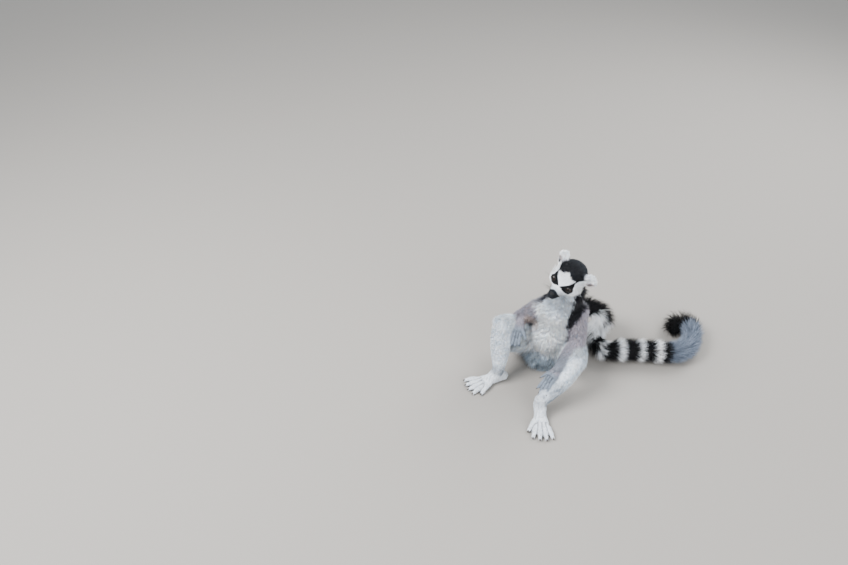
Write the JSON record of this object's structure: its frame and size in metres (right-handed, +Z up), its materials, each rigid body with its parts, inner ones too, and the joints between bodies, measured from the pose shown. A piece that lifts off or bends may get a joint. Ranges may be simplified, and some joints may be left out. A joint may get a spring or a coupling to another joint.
{
  "type": "ring-tailed lemur model",
  "caption": "Life-size half-grown ring-tailed lemur sitting upright with knees raised, hands on its legs, head turned to one side and a long ringed tail curled on the floor.",
  "frame": {"origin": "on the floor, under the pelvis, in the flat that the animal sits on", "axes": "+Z up; the belly faces -Y and the animal's left side is at +X, so the tail runs off to +X and +Y"},
  "size_m": [0.3405, 0.3918, 0.2578],
  "materials": {
    "grey_coat": "short grey-brown fur",
    "white_coat": "short white fur",
    "ringed_coat": "long fur in black and white rings",
    "eye": "wet dark amber",
    "bare_skin": "black bare skin of the nose, lids, lips, palms and soles",
    "nail": "dark horn of the nails"
  },
  "bodies": {
    "root": {"ear_left": "white_coat", "ear_right": "white_coat", "eye_left": "eye", "eye_right": "eye", "foot_left": "white_coat", "foot_right": "white_coat", "forearm_left": "grey_coat", "forearm_right": "grey_coat", "hand_left": "white_coat", "hand_right": "white_coat", "head": "grey_coat", "neck": "grey_coat", "shin_left": "white_coat", "shin_right": "white_coat", "tail_1": "ringed_coat", "tail_2": "ringed_coat", "tail_3": "ringed_coat", "tail_4": "ringed_coat", "tail_5": "ringed_coat", "thigh_left": "grey_coat", "thigh_right": "grey_coat", "trunk": "grey_coat", "upper_arm_left": "grey_coat", "upper_arm_right": "grey_coat"}
  },
  "joints": []
}
